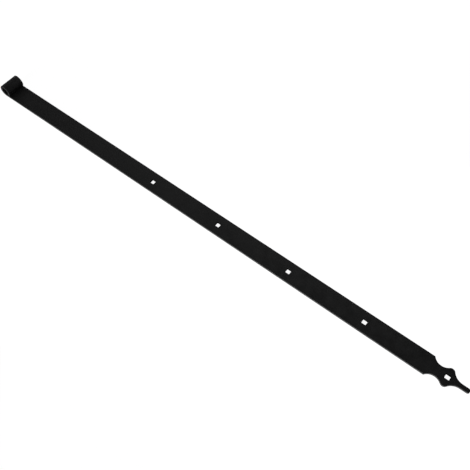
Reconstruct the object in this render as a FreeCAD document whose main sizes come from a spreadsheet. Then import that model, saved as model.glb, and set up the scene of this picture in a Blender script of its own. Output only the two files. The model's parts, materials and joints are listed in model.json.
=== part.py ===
import FreeCAD, Part
import math
import os

import Sketcher

# Long strap of a hook-and-strap hinge, in millimetres: one flat steel bar whose end is rolled
# into an eye, punched with square bolt holes and cut to a finial at the other end.
#
# Frame: the origin is the middle of the eye's bore. +X runs along the strap to the tip of the
# finial, +Y runs along the bore, and +Z points out of the front face, the side that the eye is
# rolled to. The back face lies in one plane with the outside of the eye.

DIMENSIONS = (
    ("strap_reach", 1100.0, "eye axis to the tip of the finial"),
    ("bar_width", 40.0, "width of the flat bar, and length of the eye"),
    ("bar_thickness", 5.0, "thickness of the flat bar, and wall of the eye"),
    ("bore_radius", 8.25, "inside of the eye, for a 16 mm pintle"),
    ("seam_gap", 0.4, "gap between the end of the roll and the front face"),
    ("roll_end_round", 0.6, "rounding of the bar's end at the seam"),
    ("hole_side", 9.0, "side of a square hole, for the neck of an M8 carriage bolt"),
    ("hole_corner", 0.7, "corner radius of a square hole"),
    ("hole_count", 5, "square holes in one row on the centre line"),
    ("hole_pitch", 164.0, "distance from one square hole to the next"),
    ("last_hole_to_tip", 42.0, "centre of the last hole to the tip of the finial"),
    ("neck_width", 22.5, "narrowest width, between the shoulders and the lobes"),
    ("neck_radius", 19.5, "concave arc from the shoulder to the lobe"),
    ("lobe_width", 36.8, "width across the two lobes beside the last hole"),
    ("lobe_radius", 7.5, "rounding of a lobe"),
    ("tail_radius", 23.5, "concave arc from the lobe to the tail"),
    ("tail_width", 8.5, "width of the tail, which ends in a half circle"),
    ("trim_allowance", 3.0, "bar left beyond the tip and cut away with the finial"),
    ("shoulder_round", 0.8, "rounding of the bar's corners at the shoulders"),
    ("edge_round", 0.6, "rounding of the bar's and the eye's outside edges"),
    ("hole_edge_round", 0.4, "rounding of the punched edges of the holes"),
)

START = 1                  # the points of a sketch's line or arc
END = 2
CENTRE = 3
X_AXIS = -1                # a sketch's own horizontal axis
ORIGIN_POINT = (X_AXIS, START)

TOLERANCE = 1e-4           # lengths that differ by less than this count as equal
BOX_TOLERANCE = 0.01       # how closely the finished strap fills its expected box
LEAST_CUT = 1.0            # a cut that takes away less than this, in cubic mm, has missed

document = FreeCAD.newDocument("hinge_strap")
sheet = document.addObject("Spreadsheet::Sheet", "dims")


def fill_sheet():
    """Write each driving dimension as text, with its alias and its meaning."""
    for row, (alias, value, meaning) in enumerate(DIMENSIONS, start=1):
        sheet.set(f"A{row}", alias)
        sheet.set(f"B{row}", str(value))
        sheet.set(f"C{row}", meaning)
        sheet.setAlias(f"B{row}", alias)
    document.recompute()


def origin_feature(body, role):
    """One of the body's own origin planes or axes."""
    for feature in body.Origin.OriginFeatures:
        if feature.Role == role:
            return feature
    raise ValueError(f"no origin feature {role}")


def new_sketch(body, name, plane):
    sketch = body.newObject("Sketcher::SketchObject", name)
    sketch.AttachmentSupport = [(origin_feature(body, plane), "")]
    sketch.MapMode = "FlatFace"
    return sketch


def add_line(sketch, start, end):
    line = Part.LineSegment(FreeCAD.Vector(*start, 0), FreeCAD.Vector(*end, 0))
    return sketch.addGeometry(line, False)


def add_arc(sketch, centre, radius, start_degrees, end_degrees):
    """An arc that runs counter-clockwise from its start angle to its end angle."""
    circle = Part.Circle(FreeCAD.Vector(*centre, 0), FreeCAD.Vector(0, 0, 1), radius)
    arc = Part.ArcOfCircle(circle, math.radians(start_degrees), math.radians(end_degrees))
    return sketch.addGeometry(arc, False)


def constrain(sketch, kind, *items):
    return sketch.addConstraint(Sketcher.Constraint(kind, *items))


def drive(sketch, name, expression, kind, *items):
    """Add a dimension, name it and bind it to the spreadsheet."""
    index = constrain(sketch, kind, *items)
    sketch.renameConstraint(index, name)
    sketch.setExpression(f"Constraints.{name}", expression)


def finish_sketch(sketch):
    """Recompute, and stop if the sketch is loose or in conflict."""
    document.recompute()
    if sketch.solve() != 0:
        raise RuntimeError(f"{sketch.Name} does not solve")
    if not sketch.FullyConstrained:
        raise RuntimeError(f"{sketch.Name} is not fully constrained")


def draw_side_profile(body):
    """The bar on edge: the eye's wall, rolled up from the back face and round to the front face."""
    sketch = new_sketch(body, "side_profile", "XZ_Plane")
    inner = sheet.bore_radius
    outer = inner + sheet.bar_thickness
    blank_end = sheet.strap_reach + sheet.trim_allowance
    seam_angle = math.degrees(math.asin((sheet.seam_gap - inner) / outer))
    seam_direction = (math.cos(math.radians(seam_angle)), math.sin(math.radians(seam_angle)))
    seam_inside = tuple(inner * part for part in seam_direction)
    seam_outside = tuple(outer * part for part in seam_direction)

    outside = add_arc(sketch, (0, 0), outer, seam_angle, 270)
    back_face = add_line(sketch, (0, -outer), (blank_end, -outer))
    blank_cut = add_line(sketch, (blank_end, -outer), (blank_end, -inner))
    front_face = add_line(sketch, (blank_end, -inner), (0, -inner))
    inside = add_arc(sketch, (0, 0), inner, seam_angle, 270)
    roll_end = add_line(sketch, seam_inside, seam_outside)

    constrain(sketch, "Coincident", outside, CENTRE, *ORIGIN_POINT)
    constrain(sketch, "Coincident", inside, CENTRE, *ORIGIN_POINT)
    constrain(sketch, "Tangent", outside, END, back_face, START)
    constrain(sketch, "Coincident", back_face, END, blank_cut, START)
    constrain(sketch, "Coincident", blank_cut, END, front_face, START)
    constrain(sketch, "Tangent", front_face, END, inside, END)
    constrain(sketch, "Coincident", inside, START, roll_end, START)
    constrain(sketch, "Coincident", roll_end, END, outside, START)
    constrain(sketch, "Horizontal", back_face)
    constrain(sketch, "Horizontal", front_face)
    constrain(sketch, "Vertical", blank_cut)
    constrain(sketch, "PointOnObject", *ORIGIN_POINT, roll_end)
    drive(sketch, "inside_radius", "dims.bore_radius", "Radius", inside, inner)
    drive(sketch, "outside_radius", "dims.bore_radius + dims.bar_thickness", "Radius", outside, outer)
    drive(sketch, "blank_length", "dims.strap_reach + dims.trim_allowance",
          "DistanceX", *ORIGIN_POINT, back_face, END, blank_end)
    drive(sketch, "seam", "dims.seam_gap",
          "DistanceY", front_face, END, outside, START, sheet.seam_gap)
    finish_sketch(sketch)
    return sketch


def draw_finial_waste(body):
    """The metal cut away on the +Y side: shoulder, neck arc, lobe, tail arc, tail and half tip."""
    sketch = new_sketch(body, "finial_waste", "XY_Plane")
    tip = sheet.strap_reach
    lobe_x = tip - sheet.last_hole_to_tip
    half_bar = sheet.bar_width / 2
    half_tail = sheet.tail_width / 2
    neck_radius = sheet.neck_radius
    lobe_radius = sheet.lobe_radius
    tail_radius = sheet.tail_radius

    lobe_y = sheet.lobe_width / 2 - lobe_radius
    neck_y = sheet.neck_width / 2 + neck_radius
    tail_y = half_tail + tail_radius
    neck_x = lobe_x - math.sqrt((neck_radius + lobe_radius) ** 2 - (neck_y - lobe_y) ** 2)
    tail_x = lobe_x + math.sqrt((tail_radius + lobe_radius) ** 2 - (tail_y - lobe_y) ** 2)
    shoulder_x = neck_x - math.sqrt(neck_radius ** 2 - (neck_y - half_bar) ** 2)
    waste_x = tip + 2 * sheet.trim_allowance
    waste_y = half_bar + sheet.trim_allowance

    shoulder_angle = 180 + math.degrees(math.atan2(neck_y - half_bar, neck_x - shoulder_x))
    neck_to_lobe = math.degrees(math.atan2(lobe_y - neck_y, lobe_x - neck_x))
    lobe_to_tail = math.degrees(math.atan2(tail_y - lobe_y, tail_x - lobe_x))

    neck = add_arc(sketch, (neck_x, neck_y), neck_radius, shoulder_angle, 360 + neck_to_lobe)
    lobe = add_arc(sketch, (lobe_x, lobe_y), lobe_radius, lobe_to_tail, 180 + neck_to_lobe)
    tail_arc = add_arc(sketch, (tail_x, tail_y), tail_radius, 180 + lobe_to_tail, 270)
    tail_side = add_line(sketch, (tail_x, half_tail), (tip - half_tail, half_tail))
    tip_arc = add_arc(sketch, (tip - half_tail, 0), half_tail, 0, 90)
    centre_line = add_line(sketch, (tip, 0), (waste_x, 0))
    waste_end = add_line(sketch, (waste_x, 0), (waste_x, waste_y))
    waste_side = add_line(sketch, (waste_x, waste_y), (shoulder_x, waste_y))
    shoulder = add_line(sketch, (shoulder_x, waste_y), (shoulder_x, half_bar))

    constrain(sketch, "Tangent", neck, END, lobe, END)
    constrain(sketch, "Tangent", lobe, START, tail_arc, START)
    constrain(sketch, "Tangent", tail_arc, END, tail_side, START)
    constrain(sketch, "Tangent", tail_side, END, tip_arc, END)
    constrain(sketch, "Coincident", tip_arc, START, centre_line, START)
    constrain(sketch, "Coincident", centre_line, END, waste_end, START)
    constrain(sketch, "Coincident", waste_end, END, waste_side, START)
    constrain(sketch, "Coincident", waste_side, END, shoulder, START)
    constrain(sketch, "Coincident", shoulder, END, neck, START)
    constrain(sketch, "Horizontal", tail_side)
    constrain(sketch, "Horizontal", waste_side)
    constrain(sketch, "Vertical", waste_end)
    constrain(sketch, "Vertical", shoulder)
    for end in (START, END):
        constrain(sketch, "PointOnObject", centre_line, end, X_AXIS)
    constrain(sketch, "PointOnObject", tip_arc, CENTRE, X_AXIS)
    drive(sketch, "reach", "dims.strap_reach", "DistanceX", *ORIGIN_POINT, centre_line, START, tip)
    drive(sketch, "half_tail", "dims.tail_width / 2", "Radius", tip_arc, half_tail)
    drive(sketch, "neck_radius", "dims.neck_radius", "Radius", neck, neck_radius)
    drive(sketch, "lobe_radius", "dims.lobe_radius", "Radius", lobe, lobe_radius)
    drive(sketch, "tail_radius", "dims.tail_radius", "Radius", tail_arc, tail_radius)
    drive(sketch, "lobe_place", "dims.last_hole_to_tip",
          "DistanceX", lobe, CENTRE, centre_line, START, tip - lobe_x)
    drive(sketch, "lobe_offset", "dims.lobe_width / 2 - dims.lobe_radius",
          "DistanceY", *ORIGIN_POINT, lobe, CENTRE, lobe_y)
    drive(sketch, "neck_offset", "dims.neck_width / 2 + dims.neck_radius",
          "DistanceY", *ORIGIN_POINT, neck, CENTRE, neck_y)
    drive(sketch, "shoulder_offset", "dims.bar_width / 2",
          "DistanceY", *ORIGIN_POINT, neck, START, half_bar)
    drive(sketch, "waste_length", "2 * dims.trim_allowance",
          "DistanceX", centre_line, START, centre_line, END, waste_x - tip)
    drive(sketch, "waste_margin", "dims.bar_width / 2 + dims.trim_allowance",
          "DistanceY", *ORIGIN_POINT, waste_side, START, waste_y)
    finish_sketch(sketch)
    return sketch


def draw_square_hole(body):
    """The first hole's outline, a square with rounded corners on the centre line."""
    sketch = new_sketch(body, "square_hole", "XY_Plane")
    side = sheet.hole_side
    corner = sheet.hole_corner
    reach_to_first = "dims.strap_reach - dims.last_hole_to_tip - (dims.hole_count - 1) * dims.hole_pitch"
    first_x = hole_centres()[0]
    half = side / 2
    inset = half - corner

    lines = []
    corners = []
    for quarter in range(4):
        turn = FreeCAD.Rotation(FreeCAD.Vector(0, 0, 1), 90 * quarter)
        start, end, centre = (
            FreeCAD.Vector(first_x, 0, 0) + turn.multVec(FreeCAD.Vector(x, y, 0))
            for x, y in ((half, -inset), (half, inset), (inset, inset))
        )
        lines.append(add_line(sketch, (start.x, start.y), (end.x, end.y)))
        corners.append(add_arc(sketch, (centre.x, centre.y), corner, 90 * quarter, 90 * quarter + 90))

    for quarter in range(4):
        constrain(sketch, "Tangent", lines[quarter], END, corners[quarter], START)
        constrain(sketch, "Tangent", corners[quarter], END, lines[(quarter + 1) % 4], START)
    for upright in (lines[0], lines[2]):
        constrain(sketch, "Vertical", upright)
    for level in (lines[1], lines[3]):
        constrain(sketch, "Horizontal", level)
    for other in corners[1:]:
        constrain(sketch, "Equal", corners[0], other)
    drive(sketch, "corner", "dims.hole_corner", "Radius", corners[0], corner)
    drive(sketch, "side_along", "dims.hole_side", "DistanceX", lines[2], START, lines[0], START, side)
    drive(sketch, "side_across", "dims.hole_side", "DistanceY", lines[3], START, lines[1], START, side)
    drive(sketch, "first_hole", f"{reach_to_first} + dims.hole_side / 2",
          "DistanceX", *ORIGIN_POINT, lines[0], START, first_x + half)
    drive(sketch, "centred", "dims.hole_side / 2",
          "DistanceY", *ORIGIN_POINT, lines[1], START, half)
    finish_sketch(sketch)
    return sketch


def hole_centres():
    """How far along X each square hole is centred, from the eye towards the tip."""
    last = sheet.strap_reach - sheet.last_hole_to_tip
    count = int(sheet.hole_count)
    return [last - sheet.hole_pitch * (count - 1 - index) for index in range(count)]


def cut_through(body, name, sketch):
    """Pocket a sketch down through the bar, which lies below the eye's axis."""
    before = body.Tip.Shape.Volume
    pocket = body.newObject("PartDesign::Pocket", name)
    pocket.Profile = sketch
    pocket.Type = "ThroughAll"
    pocket.Reversed = False
    document.recompute()
    if pocket.Shape.Volume > before - LEAST_CUT:
        raise RuntimeError(f"{name} cut nothing")
    return pocket


def round_edges(body, name, radius_alias, wanted):
    """Round the edges of the body's tip that pass a test."""
    base = body.Tip
    names = [f"Edge{i}" for i, edge in enumerate(base.Shape.Edges, start=1) if wanted(edge)]
    if not names:
        raise RuntimeError(f"{name} found no edges")
    fillet = body.newObject("PartDesign::Fillet", name)
    fillet.Base = (base, names)
    fillet.setExpression("Radius", f"dims.{radius_alias}")
    document.recompute()


def close(value, target):
    return abs(value - target) < TOLERANCE


def runs_along(edge, axis):
    """Whether an edge is straight and parallel to an axis."""
    if edge.Curve.TypeId != "Part::GeomLine":
        return False
    return close(abs(edge.Curve.Direction.dot(axis)), 1)


def at_shoulder(edge):
    """The two upright corners where the bar's sides end."""
    middle = edge.BoundBox.Center
    return runs_along(edge, FreeCAD.Vector(0, 0, 1)) and close(abs(middle.y), sheet.bar_width / 2)


def at_roll_end(edge):
    """The two long corners of the roll's end, inside and outside the seam."""
    across = runs_along(edge, FreeCAD.Vector(0, 1, 0))
    above_front = edge.BoundBox.ZMin > -sheet.bore_radius + TOLERANCE
    return across and above_front


def on_face(edge):
    """Whether an edge lies in the front or the back face's plane."""
    front = -sheet.bore_radius
    back = front - sheet.bar_thickness
    box = edge.BoundBox
    return any(close(box.ZMin, level) and close(box.ZMax, level) for level in (front, back))


def at_hole(edge):
    """The rims of the square holes, front and back."""
    box = edge.BoundBox
    reach = sheet.hole_side / 2 + TOLERANCE
    narrow = box.YMax < reach and box.YMin > -reach
    return on_face(edge) and narrow and any(abs(box.Center.x - x) < reach for x in hole_centres())


def at_outline(edge):
    """The rims of the bar, the finial and the eye, which form one smooth loop."""
    box = edge.BoundBox
    if on_face(edge):
        return not at_hole(edge) and not runs_along(edge, FreeCAD.Vector(0, 1, 0))
    return close(box.YMin, box.YMax) and close(abs(box.YMin), sheet.bar_width / 2)


def build_strap():
    body = document.addObject("PartDesign::Body", "hinge_strap")
    body.Label = "hinge_strap"

    rolled_bar = body.newObject("PartDesign::Pad", "rolled_bar")
    rolled_bar.Profile = draw_side_profile(body)
    rolled_bar.SideType = "Symmetric"
    rolled_bar.setExpression("Length", "dims.bar_width")
    document.recompute()

    finial_cut = cut_through(body, "finial_cut", draw_finial_waste(body))
    finial_mirror = body.newObject("PartDesign::Mirrored", "finial_mirror")
    finial_mirror.Originals = [finial_cut]
    finial_mirror.MirrorPlane = (origin_feature(body, "XZ_Plane"), [""])
    body.Tip = finial_mirror
    document.recompute()

    hole_cut = cut_through(body, "hole_cut", draw_square_hole(body))
    hole_row = body.newObject("PartDesign::LinearPattern", "hole_row")
    hole_row.Originals = [hole_cut]
    hole_row.Direction = (origin_feature(body, "X_Axis"), [""])
    hole_row.Mode = "Spacing"
    hole_row.setExpression("Offset", "dims.hole_pitch")
    hole_row.setExpression("Occurrences", "dims.hole_count")
    body.Tip = hole_row
    document.recompute()

    round_edges(body, "shoulder_corners", "shoulder_round", at_shoulder)
    round_edges(body, "roll_end_corners", "roll_end_round", at_roll_end)
    round_edges(body, "hole_rims", "hole_edge_round", at_hole)
    round_edges(body, "outline_rims", "edge_round", at_outline)
    body.Placement = FreeCAD.Placement()
    document.recompute()
    return body


def check_document():
    """Stop if any object failed to recompute."""
    for item in document.Objects:
        if "Invalid" in item.State or "Error" in item.State:
            raise RuntimeError(f"{item.Name} failed: {item.State}")


def check_strap(body):
    """Stop unless the strap is one valid solid that fills the size it should."""
    shape = body.Shape
    if shape.isNull() or not shape.isValid() or len(shape.Solids) != 1:
        raise RuntimeError("the strap is not one valid solid")
    box = shape.optimalBoundingBox(False)
    outer = sheet.bore_radius + sheet.bar_thickness
    expected = (-outer, sheet.strap_reach, -sheet.bar_width / 2, sheet.bar_width / 2, -outer, outer)
    found = (box.XMin, box.XMax, box.YMin, box.YMax, box.ZMin, box.ZMax)
    if any(abs(a - b) > BOX_TOLERANCE for a, b in zip(found, expected)):
        raise RuntimeError(f"the strap fills {found} and should fill {expected}")
    print(f"{body.Label}: {shape.Volume:.1f} cubic mm, {len(shape.Faces)} faces, box {found}")


fill_sheet()
strap = build_strap()
check_document()
check_strap(strap)
os.makedirs("parts", exist_ok=True)
strap.Shape.exportStep(f"parts/{strap.Label}.step")
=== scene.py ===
import json
import math

import bmesh
import bpy
from mathutils import Matrix, Quaternion, Vector


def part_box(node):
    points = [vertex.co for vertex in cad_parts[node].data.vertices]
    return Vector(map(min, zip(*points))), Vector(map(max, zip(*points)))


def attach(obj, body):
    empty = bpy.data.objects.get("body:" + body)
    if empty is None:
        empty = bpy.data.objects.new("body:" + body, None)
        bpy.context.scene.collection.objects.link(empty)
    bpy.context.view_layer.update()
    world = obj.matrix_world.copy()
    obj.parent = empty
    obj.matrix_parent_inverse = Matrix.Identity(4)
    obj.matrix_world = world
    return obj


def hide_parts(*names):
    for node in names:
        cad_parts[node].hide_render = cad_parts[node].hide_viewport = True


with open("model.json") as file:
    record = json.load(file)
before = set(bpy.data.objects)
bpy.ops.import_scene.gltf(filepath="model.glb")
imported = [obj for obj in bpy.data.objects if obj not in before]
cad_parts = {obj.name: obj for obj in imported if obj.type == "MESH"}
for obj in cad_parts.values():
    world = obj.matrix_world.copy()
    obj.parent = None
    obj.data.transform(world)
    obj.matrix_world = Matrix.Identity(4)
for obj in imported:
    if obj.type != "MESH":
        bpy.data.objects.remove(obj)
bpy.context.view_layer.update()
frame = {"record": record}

# Long strap of a hook-and-strap hinge. The frame gives its box, its bore and its holes, and this
# script lays its finished skin there, rolled and rounded smoothly, in black powder coat.
#
# Frame: the origin is the middle of the eye's bore, +X runs along the strap to its tip, +Y along
# the bore, and +Z out of the front face. Everything here is in metres.

MM = 0.001
STRAP = "hinge_strap"
LOW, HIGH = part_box(STRAP)
MOUNTS = {mount["name"]: mount for mount in frame["record"]["mounts"]}

# Sizes that the frame states.
BORE_RADIUS = MOUNTS["pintle_bore"]["dims"]["r_mm"] * MM
HOLE_CENTRES = sorted(m["pos_m"][0] for name, m in MOUNTS.items() if name.startswith("bolt_hole"))
TIP = HIGH.x
HALF_BAR = HIGH.y
EYE_RADIUS = -LOW.z
THICKNESS = EYE_RADIUS - BORE_RADIUS
FIBRE_RADIUS = (EYE_RADIUS + BORE_RADIUS) / 2      # the bar's middle, which rolls without stretching

# Sizes of the seam, the finial, the square holes and the edges.
SEAM_GAP = 0.4 * MM
HALF_NECK = 11.25 * MM
NECK_RADIUS = 19.5 * MM
HALF_LOBE = 18.4 * MM
LOBE_RADIUS = 7.5 * MM
HALF_TAIL = 4.25 * MM
TAIL_RADIUS = 23.5 * MM
HALF_HOLE = 4.5 * MM
HOLE_CORNER = 0.7 * MM
EDGE_ROUND = 0.6 * MM
RIM_ROUND = 0.4 * MM

# How finely the skin is cut.
ROLL_STEP = math.radians(3)
BAR_STEP = 10 * MM
FINIAL_STEP = 1.2 * MM
TIP_STEPS = 10
PATCH_HALF = 6.5 * MM      # half the square of skin that each hole is set in
PATCH_CUTS = 12
PATCH_RINGS = (0.4, 0.75)  # rings of skin between a patch's square and its hole
MARGIN_CUTS = 3            # from a patch to the bar's edge
MIDDLE_SHARE = 0.6         # how much of a narrow row its even middle takes
ROUND_CUTS = 4             # round a quarter of an edge
CORNER_CUTS = 4            # round an upright corner, seen from above
HOLE_CORNER_CUTS = 2       # from a flat side of a hole to the middle of its corner
PROBE = EDGE_ROUND / 1000  # how far apart points are when the blank's bend is measured
SLACK = 1e-6               # keeps a rounding error from adding a step

# Powder coat. Each noise is the size of its lumps, its octaves of detail, and its seed.
COAT_DARK = (0.0045, 0.0045, 0.0048, 1)
COAT_LIGHT = (0.0080, 0.0080, 0.0084, 1)
COAT_ROUGHNESS = (0.37, 0.46)
CLOUDS = (45 * MM, 3, 1.0)         # patches of slightly different black
GLOSS = (14 * MM, 4, 2.0)          # patches of slightly different gloss
PEEL = (2.5 * MM, 1, 3.0)          # orange peel in the cured film
PEEL_DEPTH = 0.09 * MM
GRAIN = (0.7 * MM, 2, 4.0)         # grain of the powder
GRAIN_DEPTH = 0.02 * MM
NOISE_MIDDLE = (0.3, 0.7)          # where most of a noise's values lie

# Camera: what it looks at, where it stands as seen from there, and its lens.
AIM = Vector((0.6057, 0.0015, -BORE_RADIUS))
AZIMUTH = math.radians(37.83)
ELEVATION = math.radians(58.32)
ROLL = math.radians(0.06)
DISTANCE = 1.323
LENS_MM = 53.87
SENSOR_MM = 36.0

# Stage: a white dish, flat under the strap and rising to a wall far behind it on every side.
WHITE = (1, 1, 1, 1)
DISH_FLAT = 5.0
DISH_RISE = 3.5
DISH_TURNS = 96
DISH_STEPS = 12
DISH_GLOW = 0.97
DISH_PAINT = 0.1

# Soft square lights round the strap: (place, what it points at, side, power in watts).
LIGHTS = {
    "behind": ((0.5, 2.0, 0.8), (0.5, 0.0, 0.0), 1.0, 18.0),
    "front": ((0.5, -2.0, 0.8), (0.5, 0.0, 0.0), 1.0, 17.0),
    "behind_low": ((1.5, 2.0, 0.2), (0.1, 0.0, 0.0), 1.0, 1.5),
    "left": ((-1.5, 0.0, 0.8), (0.0, 0.0, 0.0), 1.0, 2.3),
    "overhead_eye": ((-0.9, 1.4, 1.5), (-0.9, 1.4, 0.0), 0.8, 2.4),
    "overhead_bar": ((-0.3, 1.4, 1.5), (-0.3, 1.4, 0.0), 0.8, 1.2),
}
SKY = 0.006                # dim light from everywhere else

# Cards on the floor that glow white and light the strap from below, as a bright floor does. The
# two long ones reach in under the strap and grow brighter along it:
# (low corner, high corner, where the glow starts and stops growing, the glow before and after).
CARD_INNER = 4.5 * MM
CARD_OUTER = 0.42
CARD_LEFT = -0.45
CARD_EYE = -13.5 * MM
CARD_RIGHT = 1.5
CARD_PAINT = 0.0
CARDS = {
    "card_front": ((CARD_EYE, -CARD_OUTER), (CARD_RIGHT, -CARD_INNER), (0.0, 0.16), (0.31, 0.98)),
    "card_back": ((CARD_EYE, CARD_INNER), (CARD_RIGHT, CARD_OUTER), (0.15, 0.60), (0.03, 0.60)),
    "card_left": ((CARD_LEFT, -CARD_OUTER), (CARD_EYE, CARD_OUTER), (CARD_LEFT, CARD_EYE), (0.30, 0.30)),
}


def bent(along, across, above):
    """Where a point of the flat blank goes: along the strap, across it, and above its back face.

    Left of the eye's axis the blank is rolled up round the bore, front face inwards."""
    if along >= 0:
        return Vector((along, across, above - EYE_RADIUS))
    turned = -math.pi / 2 + along / FIBRE_RADIUS
    reach = EYE_RADIUS - above
    return Vector((reach * math.cos(turned), across, reach * math.sin(turned)))


class Skin:
    """A mesh that is laid out on the flat blank and bent into place point by point."""

    def __init__(self):
        self.mesh = bmesh.new()
        self.normals = []

    def point(self, along, across, above, normal):
        """Add one vertex, and turn its normal with the blank."""
        here = bent(along, across, above)
        columns = (
            (bent(along + PROBE, across, above) - here) / PROBE,
            (bent(along, across + PROBE, above) - here) / PROBE,
            (bent(along, across, above + PROBE) - here) / PROBE,
        )
        turn = Matrix(columns).inverted()
        self.normals.append((turn @ Vector(normal)).normalized())
        return self.mesh.verts.new(here)

    def face(self, *corners):
        """Add a face, leaving out a corner that two sides share."""
        kept = list(dict.fromkeys(corners))
        if len(kept) > 2:
            self.mesh.faces.new(kept)

    def finish(self, name, material):
        """Turn the skin into an object of the scene."""
        bmesh.ops.recalc_face_normals(self.mesh, faces=self.mesh.faces)
        mesh = bpy.data.meshes.new(name)
        self.mesh.to_mesh(mesh)
        self.mesh.free()
        mesh.shade_smooth()
        mesh.normals_split_custom_set_from_vertices(self.normals)
        mesh.materials.append(material)
        piece = bpy.data.objects.new(name, mesh)
        bpy.context.scene.collection.objects.link(piece)
        return piece


class Arc:
    """A stretch of the finial's outline on its +Y side, up to the place `end` along the strap."""

    def __init__(self, along, across, radius, hollow, end):
        self.along = along
        self.across = across
        self.radius = radius
        self.side = -1 if hollow else 1
        self.end = end

    def at(self, along, inset):
        """Half the width at that place, and the outline's outward normal."""
        radius = self.radius - self.side * inset
        run = along - self.along
        rise = math.sqrt(max(radius ** 2 - run ** 2, 0.0))
        return self.across + self.side * rise, (self.side * run / radius, rise / radius)


def finial_arcs():
    """Neck, lobe and tail, each tangent to the next, worked out from the last hole."""
    lobe = Vector((HOLE_CENTRES[-1], HALF_LOBE - LOBE_RADIUS))
    neck_across = HALF_NECK + NECK_RADIUS
    tail_across = HALF_TAIL + TAIL_RADIUS
    neck_run = math.sqrt((NECK_RADIUS + LOBE_RADIUS) ** 2 - (neck_across - lobe.y) ** 2)
    tail_run = math.sqrt((TAIL_RADIUS + LOBE_RADIUS) ** 2 - (tail_across - lobe.y) ** 2)
    neck_end = lobe.x - neck_run * LOBE_RADIUS / (NECK_RADIUS + LOBE_RADIUS)
    lobe_end = lobe.x + tail_run * LOBE_RADIUS / (TAIL_RADIUS + LOBE_RADIUS)
    return (
        Arc(lobe.x - neck_run, neck_across, NECK_RADIUS, True, neck_end),
        Arc(lobe.x, lobe.y, LOBE_RADIUS, False, lobe_end),
        Arc(lobe.x + tail_run, tail_across, TAIL_RADIUS, True, lobe.x + tail_run),
    )


def fan(start, end):
    """Normals round an upright corner, from one side's to the next side's."""
    turn = Vector(start).angle_signed(Vector(end))
    turns = [-turn * k / CORNER_CUTS for k in range(CORNER_CUTS + 1)]
    return [tuple(Matrix.Rotation(angle, 2) @ Vector(start)) for angle in turns]


def spaced(start, end, step):
    """Even places from start up to but not including end, no further apart than step."""
    count = max(1, math.ceil((end - start) / step - SLACK))
    return [start + (end - start) * k / count for k in range(count)]


def stations(start, end, step):
    """Places along the strap from start up to end, with every hole's patch cut alike."""
    places = []
    here = start
    for centre in HOLE_CENTRES:
        if start < centre - PATCH_HALF and centre + PATCH_HALF < end:
            places += spaced(here, centre - PATCH_HALF, step)
            places += spaced(centre - PATCH_HALF, centre + PATCH_HALF, 2 * PATCH_HALF / PATCH_CUTS)
            here = centre + PATCH_HALF
    return places + spaced(here, end, step)


def rows():
    """The skin's rows from the roll's end to the tip: (place along, half width, outward normals).

    The rows end short of the outline by the edge's rounding, and the tip's row has no width."""
    inset = EDGE_ROUND
    seam_angle = math.asin((SEAM_GAP - BORE_RADIUS) / EYE_RADIUS)
    roll_end = -FIBRE_RADIUS * (3 * math.pi / 2 - seam_angle)
    arcs = finial_arcs()
    neck = arcs[0]
    shoulder = neck.along - math.sqrt((neck.radius + inset) ** 2 - (neck.across - HALF_BAR + inset) ** 2)
    straight = HALF_BAR - inset
    tail = HALF_TAIL - inset
    tail_start = arcs[-1].end
    tail_end = TIP - HALF_TAIL
    outward = (0.0, 1.0)

    made = [(roll_end + inset, straight, fan((-1.0, 0.0), outward))]
    for along in spaced(roll_end + inset, 0.0, ROLL_STEP * FIBRE_RADIUS)[1:]:
        made.append((along, straight, [outward]))
    for along in stations(0.0, shoulder, BAR_STEP):
        made.append((along, straight, [outward]))
    for along in stations(shoulder, tail_start, FINIAL_STEP):
        arc = next(a for a in arcs if along < a.end)
        half, normal = arc.at(along, inset)
        made.append((along, half, [normal] if along > shoulder else fan(outward, normal)))
    for along in spaced(tail_start, tail_end, FINIAL_STEP):
        made.append((along, tail, [outward]))
    for k in range(TIP_STEPS):
        turn = math.pi / 2 * k / TIP_STEPS
        normal = (math.sin(turn), math.cos(turn))
        made.append((tail_end + tail * normal[0], tail * normal[1], [normal]))
    made.append((TIP - inset, 0.0, [(1.0, 0.0)]))
    return made


def cuts_across(half):
    """Places across a row: an even middle, as wide as a hole's patch where there is room."""
    middle = min(PATCH_HALF, MIDDLE_SHARE * half)
    inner = [middle * (2 * k / PATCH_CUTS - 1) for k in range(PATCH_CUTS + 1)]
    outer = [middle + (half - middle) * (k + 1) / MARGIN_CUTS for k in range(MARGIN_CUTS)]
    return [-y for y in reversed(outer)] + inner + outer


def in_patch(starts, row, column, cells):
    """Whether a patch covers a cell of the grid, or (one cell fewer) holds a vertex inside it."""
    first = PATCH_CUTS - cells
    return any(first <= row - i < PATCH_CUTS and first <= column - j < PATCH_CUTS for i, j in starts)


def lay_face(skin, table, starts, above, up):
    """The front or the back face: its vertices in rows, with quads between them and a fan at the tip.

    The holes' patches stay open, and nothing is laid inside them."""
    grid = []
    for i, (along, half, _) in enumerate(table):
        row = []
        for j, across in enumerate(cuts_across(half) if half > 0 else [0.0]):
            hidden = in_patch(starts, i, j, PATCH_CUTS - 1)
            row.append(None if hidden else skin.point(along, across, above, (0, 0, up)))
        grid.append(row)
    for i, (row, after) in enumerate(zip(grid, grid[1:-1])):
        for j in range(len(row) - 1):
            if not in_patch(starts, i, j, PATCH_CUTS):
                skin.face(row[j], after[j], after[j + 1], row[j + 1])
    for left, right in zip(grid[-2], grid[-2][1:]):
        skin.face(left, grid[-1][0], right)
    return grid


def patch_start(table, centre):
    """The row and the column where a hole's patch starts."""
    row = min(range(len(table)), key=lambda k: abs(table[k][0] - (centre - PATCH_HALF)))
    return row, MARGIN_CUTS


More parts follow.
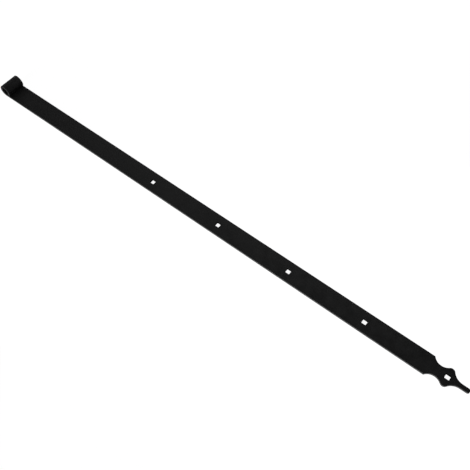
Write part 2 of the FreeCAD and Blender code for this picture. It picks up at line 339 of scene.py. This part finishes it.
def outline(table, front, back):
    """The bar's outline as a loop of (front vertex, back vertex, inset point, outward normal)."""
    right = []
    left = []
    for k, (along, half, normals) in enumerate(table):
        for x, y in normals:
            right.append((front[k][-1], back[k][-1], (along, half), (x, y)))
            left.append((front[k][0], back[k][0], (along, -half), (x, -y)))
    roll_end = [
        (front[0][j], back[0][j], (table[0][0], across), (-1.0, 0.0))
        for j, across in enumerate(cuts_across(table[0][1]))
    ]
    return right + list(reversed(left[:-1])) + roll_end[1:-1]


def hole_loop(centre, row, column, grid):
    """Round a hole: (vertex of the patch's square, point of the rim's rounding, outward normal)."""
    half_cuts = PATCH_CUTS // 2
    flat_cuts = half_cuts - HOLE_CORNER_CUTS
    flat = HALF_HOLE - HOLE_CORNER
    loop = []
    for quarter in range(4):
        turn = Matrix.Rotation(math.pi / 2 * quarter, 2)
        for k in range(-half_cuts, half_cuts):
            step = turn @ Vector((half_cuts, k))
            vertex = grid[row + half_cuts + round(step.x)][column + half_cuts + round(step.y)]
            sign = math.copysign(1, k)
            lean = sign * math.pi / 4 / HOLE_CORNER_CUTS * max(0, abs(k) - flat_cuts)
            side = sign * flat * min(1.0, abs(k) / flat_cuts)
            away = Vector((math.cos(lean), math.sin(lean)))
            rim = turn @ (Vector((flat, side)) + away * (HOLE_CORNER + RIM_ROUND))
            inward = turn @ -away
            loop.append((vertex, (centre + rim.x, rim.y), tuple(inward)))
    return loop


def ring_faces(skin, outer, inner):
    """Quads between two closed loops of vertices with the same count."""
    for k in range(len(outer)):
        skin.face(outer[k - 1], outer[k], inner[k], inner[k - 1])


def lay_patch(skin, loop, above, up):
    """The flat skin of a patch, from its square in to the rim. It returns the rim's vertices."""
    squares = [vertex.co.copy() for vertex, _, _ in loop]
    last = [vertex for vertex, _, _ in loop]
    for share in PATCH_RINGS + (1.0,):
        ring = []
        for square, (_, rim, _) in zip(squares, loop):
            along, across = Vector((square.x, square.y)).lerp(Vector(rim), share)
            ring.append(skin.point(along, across, above, (0, 0, up)))
        ring_faces(skin, last, ring)
        last = ring
    return last


def wrap_edge(skin, loop, radius):
    """Round the front edge of a loop over, down its wall, and round its back edge under."""
    columns = []
    for front, back, (along, across), (x, y) in loop:
        over = []
        under = []
        for k in range(1, ROUND_CUTS + 1):
            turn = math.pi / 2 * k / ROUND_CUTS
            out = radius * math.sin(turn)
            deep = radius * (1 - math.cos(turn))
            lean = (x * math.sin(turn), y * math.sin(turn))
            place = (along + x * out, across + y * out)
            over.append(skin.point(*place, THICKNESS - deep, (*lean, math.cos(turn))))
            under.append(skin.point(*place, deep, (*lean, -math.cos(turn))))
        columns.append([front, *over, *reversed(under), back])
    for k, column in enumerate(columns):
        before = columns[k - 1]
        for i in range(len(column) - 1):
            skin.face(before[i], column[i], column[i + 1], before[i + 1])


def strap_skin(material):
    """The whole strap as one closed mesh."""
    skin = Skin()
    table = rows()
    starts = [patch_start(table, centre) for centre in HOLE_CENTRES]
    front = lay_face(skin, table, starts, THICKNESS, 1)
    back = lay_face(skin, table, starts, 0.0, -1)
    wrap_edge(skin, outline(table, front, back), EDGE_ROUND)
    for centre, start in zip(HOLE_CENTRES, starts):
        front_loop = hole_loop(centre, *start, front)
        back_loop = hole_loop(centre, *start, back)
        front_rim = lay_patch(skin, front_loop, THICKNESS, 1)
        back_rim = lay_patch(skin, back_loop, 0.0, -1)
        rims = [(a, b, rim, out) for a, b, (_, rim, out) in zip(front_rim, back_rim, front_loop)]
        wrap_edge(skin, rims, RIM_ROUND)
    return skin.finish("hinge_strap_finished", material)


def add_noise(tree, size, detail, seed):
    """A noise through the object whose lumps are about that size."""
    place = tree.nodes.new("ShaderNodeTexCoord")
    noise = tree.nodes.new("ShaderNodeTexNoise")
    noise.noise_dimensions = "4D"
    noise.inputs["W"].default_value = seed
    noise.inputs["Scale"].default_value = 1 / size
    noise.inputs["Detail"].default_value = detail
    tree.links.new(place.outputs["Object"], noise.inputs["Vector"])
    return noise.outputs["Fac"]


def add_range(tree, value, source, target):
    """Spread a value from one range to another, and return the node that does it."""
    spread = tree.nodes.new("ShaderNodeMapRange")
    spread.inputs["From Min"].default_value = source[0]
    spread.inputs["From Max"].default_value = source[1]
    spread.inputs["To Min"].default_value = target[0]
    spread.inputs["To Max"].default_value = target[1]
    tree.links.new(value, spread.inputs["Value"])
    return spread


def add_bump(tree, height, depth, below=None):
    """A bump of that depth, on top of the bump below if there is one."""
    bump = tree.nodes.new("ShaderNodeBump")
    bump.inputs["Distance"].default_value = depth
    tree.links.new(height, bump.inputs["Height"])
    if below is not None:
        tree.links.new(below, bump.inputs["Normal"])
    return bump.outputs["Normal"]


def powder_coat():
    """Satin black powder coat: orange peel and grain in the film, and a little uneven gloss."""
    material = bpy.data.materials.new("black_powder_coat")
    material.use_nodes = True
    tree = material.node_tree
    shader = tree.nodes["Principled BSDF"]

    cloud = add_range(tree, add_noise(tree, *CLOUDS), NOISE_MIDDLE, (0.0, 1.0))
    tint = tree.nodes.new("ShaderNodeMix")
    tint.data_type = "RGBA"
    tint.inputs["A"].default_value = COAT_DARK
    tint.inputs["B"].default_value = COAT_LIGHT
    tree.links.new(cloud.outputs["Result"], tint.inputs["Factor"])
    tree.links.new(tint.outputs["Result"], shader.inputs["Base Color"])

    gloss = add_range(tree, add_noise(tree, *GLOSS), NOISE_MIDDLE, COAT_ROUGHNESS)
    tree.links.new(gloss.outputs["Result"], shader.inputs["Roughness"])

    peel = add_bump(tree, add_noise(tree, *PEEL), PEEL_DEPTH)
    grain = add_bump(tree, add_noise(tree, *GRAIN), GRAIN_DEPTH, peel)
    tree.links.new(grain, shader.inputs["Normal"])
    return material


def direction(azimuth, elevation):
    """From the object towards a viewer at that azimuth and elevation."""
    level = math.cos(elevation)
    return Vector((math.sin(azimuth) * level, -math.cos(azimuth) * level, math.sin(elevation)))


def add_camera():
    back = direction(AZIMUTH, ELEVATION)
    data = bpy.data.cameras.new("camera")
    data.lens = LENS_MM
    data.sensor_width = SENSOR_MM
    camera = bpy.data.objects.new("camera", data)
    camera.location = AIM + back * DISTANCE
    camera.rotation_mode = "QUATERNION"
    camera.rotation_quaternion = (-back).to_track_quat("-Z", "Y") @ Quaternion((0, 0, 1), ROLL)
    bpy.context.scene.collection.objects.link(camera)
    bpy.context.scene.camera = camera


def white_glow(name, paint, strength):
    """Matt paint, from black to white, that also shines white by itself."""
    material = bpy.data.materials.new(name)
    material.use_nodes = True
    shader = material.node_tree.nodes["Principled BSDF"]
    shader.inputs["Base Color"].default_value = (paint, paint, paint, 1)
    shader.inputs["Roughness"].default_value = 1.0
    shader.inputs["Specular IOR Level"].default_value = 0.0
    shader.inputs["Emission Color"].default_value = WHITE
    shader.inputs["Emission Strength"].default_value = strength
    return material


def fade_glow(material, stretch, glow):
    """Let a white glow change smoothly over a stretch of the strap."""
    tree = material.node_tree
    place = tree.nodes.new("ShaderNodeTexCoord")
    split = tree.nodes.new("ShaderNodeSeparateXYZ")
    tree.links.new(place.outputs["Object"], split.inputs["Vector"])
    fade = add_range(tree, split.outputs["X"], stretch, glow)
    fade.interpolation_type = "SMOOTHSTEP"
    tree.links.new(fade.outputs["Result"], tree.nodes["Principled BSDF"].inputs["Emission Strength"])


def add_stage_piece(name, corners, faces, material):
    mesh = bpy.data.meshes.new(name)
    mesh.from_pydata(corners, [], faces)
    mesh.materials.append(material)
    piece = bpy.data.objects.new(name, mesh)
    bpy.context.scene.collection.objects.link(piece)
    return piece


def add_dish():
    """The floor and the wall. Only the camera sees them, so the black paint doesn't mirror them."""
    profile = []
    for k in range(DISH_STEPS + 1):
        turn = math.pi / 2 * k / DISH_STEPS
        profile.append((DISH_FLAT + DISH_RISE * math.sin(turn), DISH_RISE * (1 - math.cos(turn))))
    ring = len(profile)
    centre = (LOW + HIGH) / 2
    corners = []
    for k in range(DISH_TURNS):
        away = direction(2 * math.pi * k / DISH_TURNS, 0.0)
        corners += [(centre.x + away.x * r, centre.y + away.y * r, LOW.z + rise) for r, rise in profile]
    faces = [tuple(k * ring for k in range(DISH_TURNS))]
    for k in range(DISH_TURNS):
        here = k * ring
        there = (k + 1) % DISH_TURNS * ring
        faces += [(here + i, there + i, there + i + 1, here + i + 1) for i in range(ring - 1)]
    dish = add_stage_piece("dish", corners, faces, white_glow("dish_white", DISH_PAINT, DISH_GLOW))
    dish.visible_diffuse = False
    dish.visible_glossy = False
    dish.visible_shadow = False


def add_cards():
    """The cards. The camera doesn't see them, and they cast no shadow."""
    for name, ((low_x, low_y), (high_x, high_y), stretch, glow) in CARDS.items():
        z = LOW.z
        corners = [(low_x, low_y, z), (high_x, low_y, z), (high_x, high_y, z), (low_x, high_y, z)]
        material = white_glow(name, CARD_PAINT, glow[1])
        fade_glow(material, stretch, glow)
        card = add_stage_piece(name, corners, [(0, 1, 2, 3)], material)
        card.visible_camera = False
        card.visible_shadow = False


def add_lights():
    for name, (place, aim, side, power) in LIGHTS.items():
        light = bpy.data.lights.new(name, "AREA")
        light.shape = "SQUARE"
        light.size = side
        light.energy = power
        lamp = bpy.data.objects.new(name, light)
        lamp.location = place
        lamp.rotation_mode = "QUATERNION"
        lamp.rotation_quaternion = (Vector(aim) - Vector(place)).to_track_quat("-Z", "Y")
        bpy.context.scene.collection.objects.link(lamp)


def add_sky():
    world = bpy.data.worlds.new("sky")
    world.use_nodes = True
    background = world.node_tree.nodes["Background"]
    background.inputs["Color"].default_value = WHITE
    background.inputs["Strength"].default_value = SKY
    bpy.context.scene.world = world


add_camera()
add_dish()
add_cards()
add_lights()
add_sky()
bpy.context.scene.view_settings.view_transform = "Standard"

strap = strap_skin(powder_coat())
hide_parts(STRAP)
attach(strap, "root")
